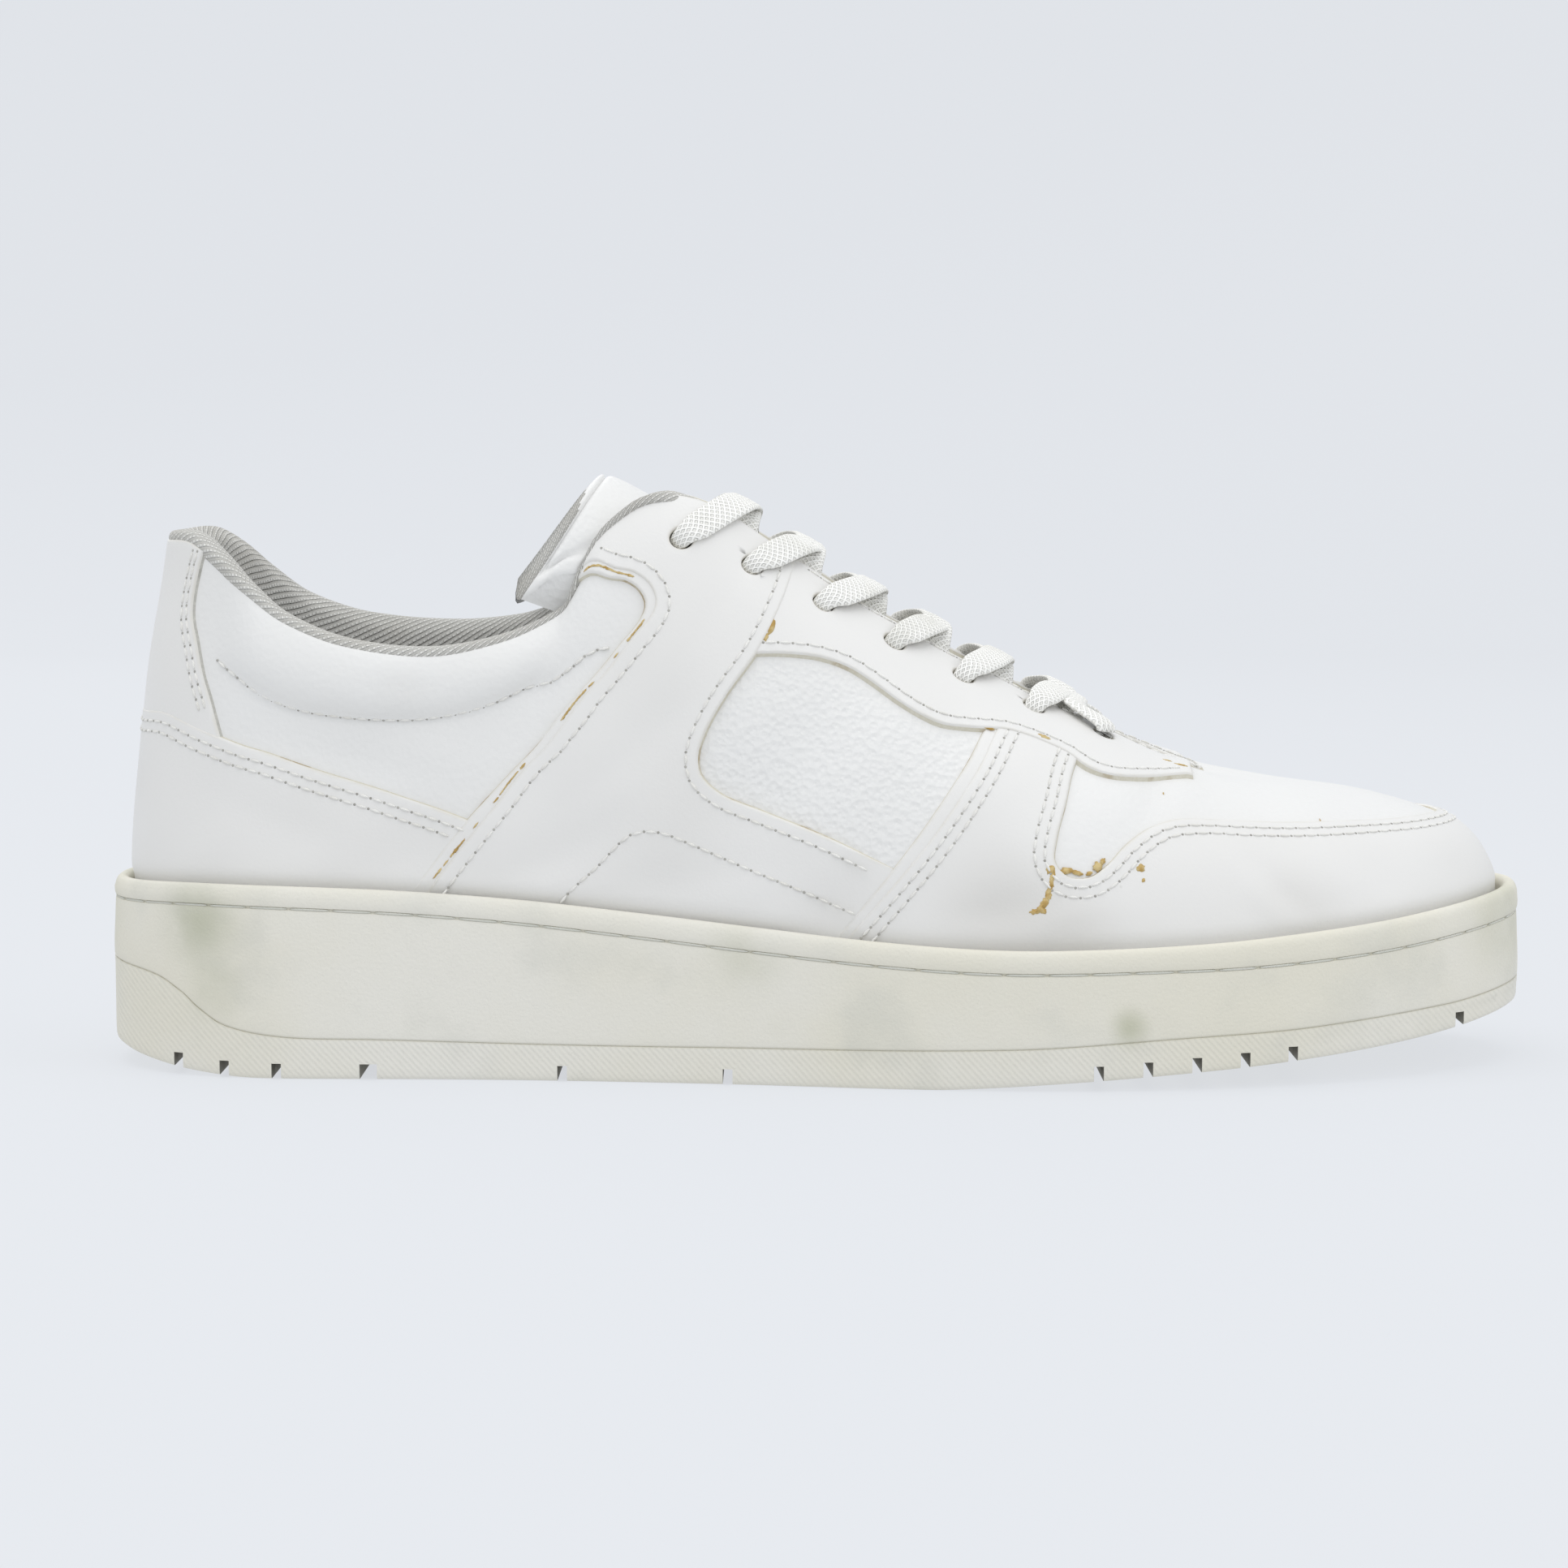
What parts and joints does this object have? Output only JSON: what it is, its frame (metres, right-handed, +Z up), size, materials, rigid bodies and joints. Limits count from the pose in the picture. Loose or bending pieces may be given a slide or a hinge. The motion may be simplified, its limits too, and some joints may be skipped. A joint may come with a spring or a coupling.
{
  "type": "worn low-top court sneaker",
  "caption": "Worn low-top court sneaker for the right foot: hollow leather upper on a rubber cup sole, with padded collar, tongue, insole and flat lace.",
  "frame": {"origin": "middle of the sole's length and width, on the floor", "axes": "+X towards the toe, +Y towards the inner side of the foot, +Z up"},
  "size_m": [0.3, 0.1094, 0.1242],
  "materials": {
    "sole_rubber": "fine-grained cream rubber, slightly yellowed",
    "lining_mesh": "grey-beige diagonal mesh knit over foam",
    "white_leather": "coated white leather, smooth panels and pebbled vamp, with cracks that show a brown base",
    "lace_cotton": "flat basket-woven cotton"
  },
  "bodies": {
    "root": {"cupsole": "sole_rubber", "insole": "lining_mesh", "upper": "white_leather", "collar_lining": "lining_mesh", "tongue": "white_leather", "lace": "lace_cotton"}
  },
  "joints": []
}
